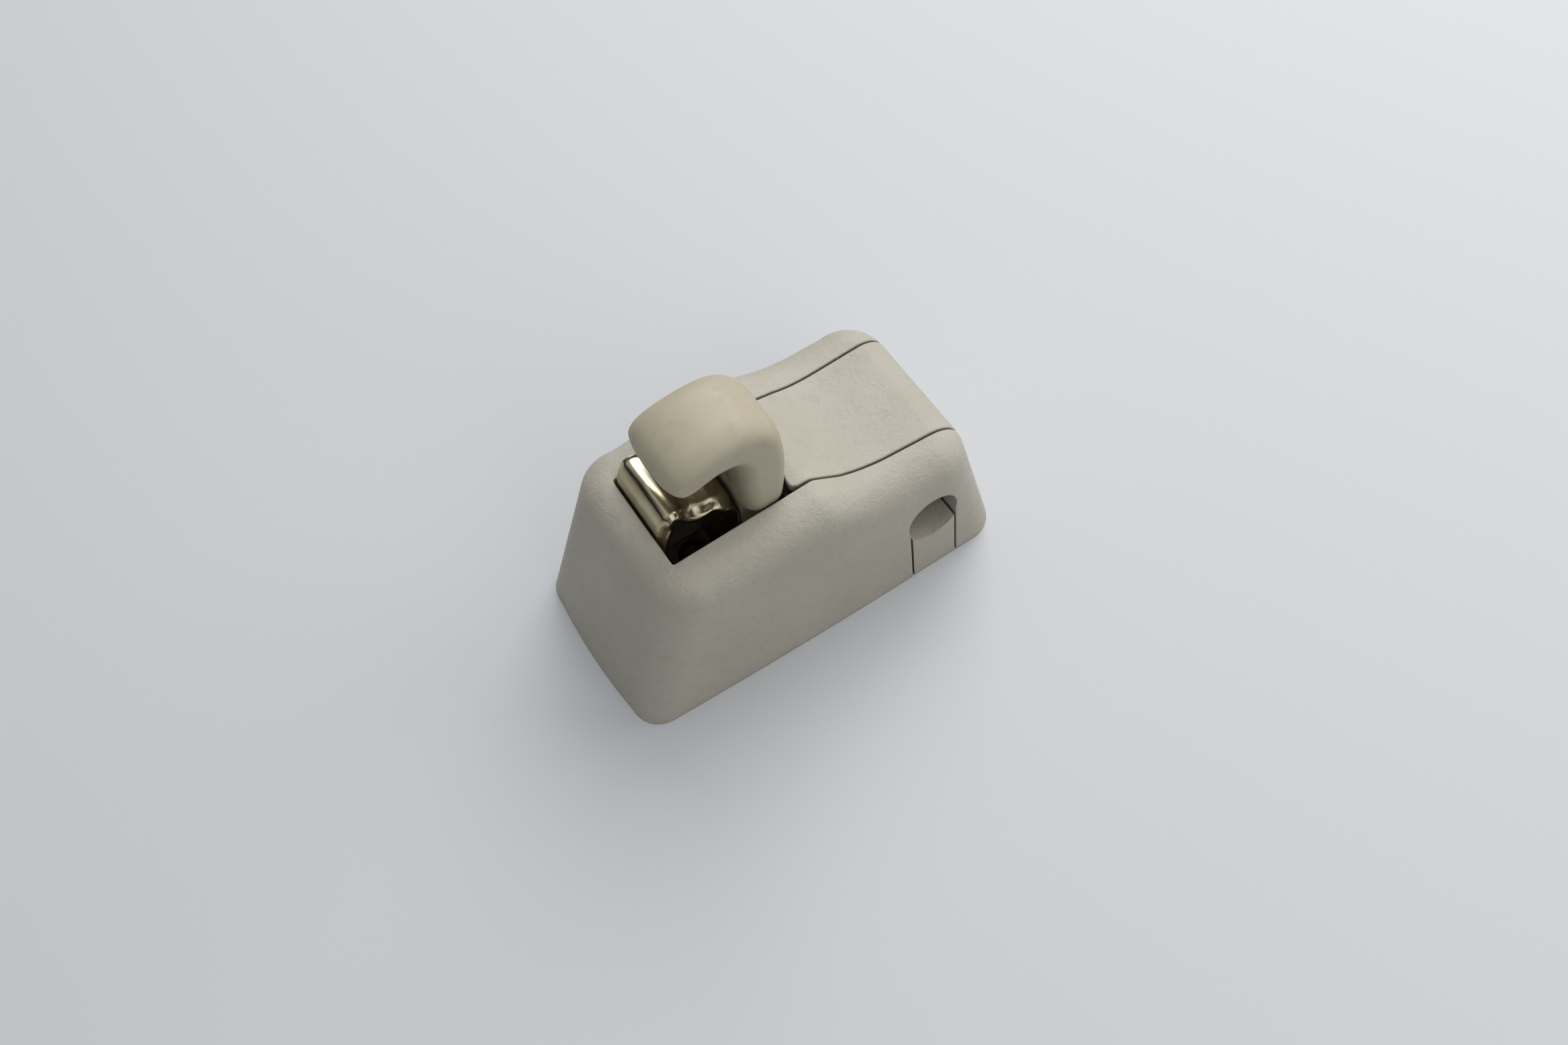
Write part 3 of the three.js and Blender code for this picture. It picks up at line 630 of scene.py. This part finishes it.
def make_leaf():
    """One strip from the foot, up the leg, over the ramp and the rolled lip, and down the front wall."""
    line = spline(LEAF_LINE, 300)
    along = tangents(line)
    normals = np.stack([along[:, 1], -along[:, 0]], axis=1)
    x, z = line[:, 0], line[:, 1]
    half = LEAF_ROOT_HALF + (LEAF_HALF - LEAF_ROOT_HALF) * smoothstep(z, 14, 25)
    on_ramp = smoothstep(z, 25.6, 28.6) * (x > 15.5)
    on_wall = smoothstep(z, 24.5, 30.5) * (x < 15.5)
    curled = np.where(x < 15.5, on_wall, on_ramp)
    lip = smoothstep(z, 30, 31.7) * curled
    waist = 0.75 * smoothstep(24.4 - x, 0, 3) * curled
    start = 0.45 + 0.2 * smoothstep(x, 19.2, 21.2) + 0.25 * smoothstep(18 - x, 0, 1.5)
    corner = np.where(x < 14.2, 1 - smoothstep(z, 22, 24), 0) * 1.8
    columns = np.sin(np.linspace(-1, 1, 57) * math.pi / 2 * 0.86) / math.sin(math.pi / 2 * 0.86)
    points = []
    for i, (px, pz) in enumerate(line):
        for v in columns:
            near = smoothstep(-v, start[i], 1)
            far = smoothstep(v, 0.86, 1)
            depth = (LEAF_CURL * near + 0.2 * far) * curled[i] - LEAF_LIP_EASE * near * lip[i]
            pull = waist[i] * smoothstep(-v, 0.6, 1) + corner[i] * smoothstep(abs(v), 0.74, 1)
            y = v * (half[i] - pull)
            dent = 0.1 * math.sin(1.3 * px + 2.4 * v) * on_ramp[i]
            points.append((px - depth * normals[i][0], LEAF_CENTRE_Y + y, pz - depth * normals[i][1] + dent))
    count = len(columns)
    faces = [
        (k * count + i, k * count + i + 1, (k + 1) * count + i + 1, (k + 1) * count + i)
        for k in range(len(line) - 1)
        for i in range(count - 1)
    ]
    leaf = mesh_object("leaf_strip", points, faces)
    solidify = leaf.modifiers.new("thick", "SOLIDIFY")
    solidify.thickness = LEAF_THICK
    solidify.offset = 0
    bevel = leaf.modifiers.new("edge", "BEVEL")
    bevel.width = 0.12
    bevel.segments = 2
    bevel.limit_method = "ANGLE"
    bevel.angle_limit = math.radians(50)
    bevel.use_clamp_overlap = False
    return settle(leaf)


# ---------- finishing a piece ----------


def finished(shape, name, material, nodes, sharp=32, weighted=True):
    """Names a shape, puts it in the row frame and gives it its material and shading."""
    shape.name = name
    shape.data.name = name
    shape.data.transform(TO_ROW)
    shape.data.materials.clear()
    shape.data.materials.append(material)
    shape.data.polygons.foreach_set("use_smooth", [True] * len(shape.data.polygons))
    shape.data.set_sharp_from_angle(angle=math.radians(sharp))
    if weighted:
        modifier = shape.modifiers.new("shading", "WEIGHTED_NORMAL")
        modifier.keep_sharp = True
        modifier.weight = 80
    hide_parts(*nodes)
    return shape


# ---------- materials ----------


def new_material(name):
    material = bpy.data.materials.new(name)
    material.use_nodes = True
    tree = material.node_tree
    return material, tree, tree.nodes["Principled BSDF"]


def node(tree, kind, inputs=None, **settings):
    made = tree.nodes.new("ShaderNode" + kind)
    for key, value in settings.items():
        setattr(made, key, value)
    for key, value in (inputs or {}).items():
        if isinstance(value, bpy.types.NodeSocket):
            tree.links.new(value, made.inputs[key])
        else:
            made.inputs[key].default_value = value
    return made


def math_node(tree, operation, *values, clamp=False):
    made = tree.nodes.new("ShaderNodeMath")
    made.operation = operation
    made.use_clamp = clamp
    for socket, value in zip(made.inputs, values):
        if isinstance(value, bpy.types.NodeSocket):
            tree.links.new(value, socket)
        else:
            socket.default_value = value
    return made.outputs[0]


def noise(tree, place, scale, detail=2.0, roughness=0.5, distortion=0.0):
    inputs = {"Vector": place, "Scale": scale, "Detail": detail, "Roughness": roughness}
    return node(tree, "TexNoise", {**inputs, "Distortion": distortion}).outputs["Fac"]


def ramp(tree, value, low, high, to_low=0.0, to_high=1.0):
    """Value taken from low..high to to_low..to_high, and held beyond them."""
    inputs = {"Value": value, "From Min": low, "From Max": high, "To Min": to_low, "To Max": to_high}
    return node(tree, "MapRange", inputs).outputs["Result"]


def mixed(tree, factor, first, second):
    made = tree.nodes.new("ShaderNodeMix")
    made.data_type = "RGBA"
    for index, value in ((0, factor), (6, first), (7, second)):
        if isinstance(value, bpy.types.NodeSocket):
            tree.links.new(value, made.inputs[index])
        elif index:
            made.inputs[index].default_value = (*value, 1)
        else:
            made.inputs[index].default_value = value
    return made.outputs[2]


def millimetres(tree):
    """The surface's own place, in millimetres from the middle of the base."""
    place = node(tree, "TexCoord").outputs["Object"]
    return node(tree, "VectorMath", {0: place, 3: 1 / MM}, operation="SCALE").outputs[0]


def plastic(name, colour, shade, roughness, grain, pit):
    """Moulded plastic: spark grain of the given depth, faint clouding, handling marks and dark specks, with
    painted shade darkening its corners and hollows.
    """
    material, tree, shader = new_material(name)
    place = millimetres(tree)
    clouds = ramp(tree, noise(tree, place, 0.09, 3), 0.35, 0.65)
    handled = ramp(tree, noise(tree, place, 0.5, 5, 0.62), 0.5, 0.78)
    tinted = mixed(tree, clouds, colour, shade)
    marks = math_node(tree, "MULTIPLY", handled, 0.3)
    dirtied = mixed(tree, marks, tinted, tuple(0.72 * c for c in shade))
    dusty = ramp(tree, noise(tree, place, 0.16, 2, 0.5), 0.46, 0.62)
    specks = 0.0
    for scale, size, share in ((0.42, 0.045, 0.7), (1.15, 0.085, 0.84)):
        cells = node(tree, "TexVoronoi", {"Vector": place, "Scale": scale, "Randomness": 1.0})
        inside = ramp(tree, cells.outputs["Distance"], size * 0.55, size, 1, 0)
        chosen = node(tree, "SeparateColor", {"Color": cells.outputs["Color"]}).outputs["Red"]
        spot = math_node(tree, "MULTIPLY", inside, ramp(tree, chosen, share, share + 0.02))
        specks = math_node(tree, "ADD", specks, math_node(tree, "MULTIPLY", spot, dusty), clamp=True)
    final = mixed(tree, math_node(tree, "MULTIPLY", specks, pit), dirtied, (0.06, 0.045, 0.03))
    # Painted shade: the base colour goes dark brown where ambient occlusion finds corners and recesses.
    hollow = node(tree, "AmbientOcclusion", {"Distance": 1.6 * MM}, samples=6).outputs["AO"]
    painted_shade = ramp(tree, hollow, 0.25, 0.75, 0.6, 0)
    tree.links.new(mixed(tree, painted_shade, final, (0.1, 0.078, 0.05)), shader.inputs["Base Color"])

    gloss = ramp(tree, noise(tree, place, 1.3, 4), 0.3, 0.7, roughness - 0.05, roughness + 0.05)
    tree.links.new(gloss, shader.inputs["Roughness"])
    shader.inputs["Specular IOR Level"].default_value = 0.42

    fine = noise(tree, place, 3.4, 2, 0.6)
    coarse = math_node(tree, "MULTIPLY", noise(tree, place, 1.5, 2, 0.5), 1.1)
    relief = math_node(tree, "ADD", fine, coarse)
    relief = math_node(tree, "SUBTRACT", relief, math_node(tree, "MULTIPLY", specks, pit))
    bump = node(tree, "Bump", {"Height": relief, "Strength": 1.0, "Distance": grain * MM})
    tree.links.new(bump.outputs["Normal"], shader.inputs["Normal"])
    return material


def dirt_and_shade_patch(material, centre, reach, colour):
    """Adds a broken dark patch around one place, given in millimetres in the row frame: dirt together with
    painted shade.
    """
    tree = material.node_tree
    shader = tree.nodes["Principled BSDF"]
    place = millimetres(tree)
    off = node(tree, "VectorMath", {0: place, 1: centre}, operation="SUBTRACT").outputs[0]
    scaled = node(tree, "VectorMath", {0: off, 1: reach}, operation="DIVIDE").outputs[0]
    away = node(tree, "VectorMath", {0: scaled}, operation="LENGTH").outputs["Value"]
    broken = ramp(tree, noise(tree, place, 2.2, 4, 0.7), 0.42, 0.6)
    amount = math_node(tree, "MULTIPLY", ramp(tree, away, 0.35, 1, 0.8, 0), broken)
    base = shader.inputs["Base Color"]
    before = base.links[0].from_socket
    tree.links.new(mixed(tree, amount, before, colour), base)


def metal(name, colour, tint, roughness, scratch):
    """Rolled steel: brushed across the strip, with clouded tint and fine scratches."""
    material, tree, shader = new_material(name)
    place = millimetres(tree)
    stretched = node(tree, "Mapping", {"Vector": place, "Scale": (1.0, 0.05, 1.0)}).outputs[0]
    streaks = noise(tree, stretched, 5.0, 3, 0.6)
    clouds = ramp(tree, noise(tree, place, 0.28, 3, 0.55), 0.35, 0.68)
    tinted = mixed(tree, clouds, colour, tint)
    worn = mixed(tree, ramp(tree, noise(tree, place, 1.1, 5, 0.7), 0.62, 0.8, 0, 0.5), tinted, (0.16, 0.12, 0.08))
    tree.links.new(worn, shader.inputs["Base Color"])
    shader.inputs["Metallic"].default_value = 1
    gloss = ramp(tree, streaks, 0.3, 0.7, roughness - 0.05, roughness + 0.08)
    tree.links.new(gloss, shader.inputs["Roughness"])
    bump = node(tree, "Bump", {"Height": streaks, "Strength": 1.0, "Distance": scratch * MM})
    tree.links.new(bump.outputs["Normal"], shader.inputs["Normal"])
    return material


trim = plastic("trim_plastic", (0.475, 0.445, 0.375), (0.45, 0.416, 0.342), 0.56, 0.085, 0.8)
soft = plastic("hook_plastic", (0.475, 0.428, 0.315), (0.435, 0.388, 0.283), 0.5, 0.02, 0.5)
# Painted shade under the hook's head at the back of its mouth, mixed with dirt.
dirt_and_shade_patch(soft, (-5.6, -2.1, 31.0), (1.6, 1.8, 2.2), (0.09, 0.075, 0.055))
spring = metal("spring_steel", (0.5, 0.44, 0.31), (0.36, 0.305, 0.2), 0.2, 0.014)
# Painted shade: the steel for the parts inside is kept far darker than its zinc plating, to stand for the shade
# they sit in.
inner_steel_darkened = metal("steel_darkened_for_shade", (0.16, 0.15, 0.13), (0.09, 0.08, 0.065), 0.45, 0.01)
black_oxide = metal("black_oxide_steel", (0.06, 0.06, 0.062), (0.035, 0.034, 0.034), 0.38, 0.012)
nylon = plastic("white_nylon", (0.6, 0.58, 0.52), (0.52, 0.5, 0.44), 0.42, 0.02, 0.4)

housing = finished(make_housing(), "housing_moulding", trim, ["housing"])
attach(housing, "body")
flap = finished(make_flap(), "flap_moulding", trim, ["cover_flap"])
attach(flap, "flap")
hook = finished(make_hook(), "hook_moulding", soft, ["hook"])
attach(hook, "body")
leaf = finished(make_leaf(), "leaf_spring", spring, ["leaf_spring_arm", "leaf_spring_foot"])
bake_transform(leaf)
bpy.data.meshes.remove(outer_form.data)

NODE_MATERIALS = {"carrier": trim, "case": black_oxide, "screw_retainer": nylon, "screw_sleeve": black_oxide}
for name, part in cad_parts.items():
    if part.hide_render:
        continue
    part.data.materials.clear()
    part.data.materials.append(NODE_MATERIALS.get(name.split("_")[0] if name.startswith("case") else name, inner_steel_darkened))

# ---------- stage, light and camera ----------

SKY_DARK_BELOW = 0.25
SKY_LOW = (0.012, 0.012, 0.013)
SKY_HIGH = (0.765, 0.785, 0.815)

floor = mesh_object("floor", [(-900, -900, 0), (900, -900, 0), (900, 900, 0), (-900, 900, 0)], [(0, 1, 2, 3)])
floor.data.transform(Matrix.Scale(MM, 4))
paper, paper_tree, paper_shader = new_material("paper")
paper_shader.inputs["Base Color"].default_value = (0.62, 0.635, 0.65, 1)
paper_shader.inputs["Roughness"].default_value = 0.9
floor.data.materials.append(paper)

world = bpy.data.worlds.new("world")
bpy.context.scene.world = world
world.use_nodes = True
sky_tree = world.node_tree
sky = sky_tree.nodes["Background"]
direction = node(sky_tree, "SeparateXYZ", {0: node(sky_tree, "TexCoord").outputs["Generated"]})
height = ramp(sky_tree, direction.outputs["Z"], SKY_DARK_BELOW, 1)
sky_tree.links.new(mixed(sky_tree, height, SKY_LOW, SKY_HIGH), sky.inputs["Color"])
sky.inputs["Strength"].default_value = 1.0


def softbox(name, place, target, size, power, colour=(1, 1, 1)):
    light = bpy.data.lights.new(name, "AREA")
    light.shape = "RECTANGLE"
    light.size, light.size_y = size
    light.energy = power
    light.color = colour
    lamp = bpy.data.objects.new(name, light)
    lamp.location = place
    lamp.rotation_mode = "QUATERNION"
    lamp.rotation_quaternion = (Vector(target) - Vector(place)).to_track_quat("-Z", "Y")
    bpy.context.scene.collection.objects.link(lamp)


softbox("behind_right", (0.35, 0.3, 0.45), (0, 0, 0), (0.45, 0.45), 2.55, (1, 0.99, 0.975))
softbox("right", (0.5, -0.1, 0.3), (0, 0, 0), (0.4, 0.4), 0.8)
softbox("front", (0.1, -0.5, 0.35), (0, 0, 0), (0.4, 0.4), 0.56)

CAMERA_AZIMUTH = 0.481
CAMERA_ELEVATION = 1.087
CAMERA_ROLL = -0.121
CAMERA_PLACE = (-0.043945, -0.090223, 0.198431)
camera = bpy.data.cameras.new("camera")
camera.sensor_width = 36
camera.lens = 33.67
camera.clip_start = 0.01
camera_object = bpy.data.objects.new("camera", camera)
bpy.context.scene.collection.objects.link(camera_object)
az, el = CAMERA_AZIMUTH, CAMERA_ELEVATION
back = Vector((-math.sin(az) * math.cos(el), -math.cos(az) * math.cos(el), math.sin(el)))
right = Vector((0, 0, 1)).cross(back).normalized()
turned = Matrix.Rotation(CAMERA_ROLL, 3, back)
right = turned @ right
up = back.cross(right)
basis = Matrix((right, up, back)).transposed().to_4x4()
camera_object.matrix_world = Matrix.Translation(CAMERA_PLACE) @ basis
bpy.context.scene.camera = camera_object
bpy.context.scene.view_settings.view_transform = "Standard"
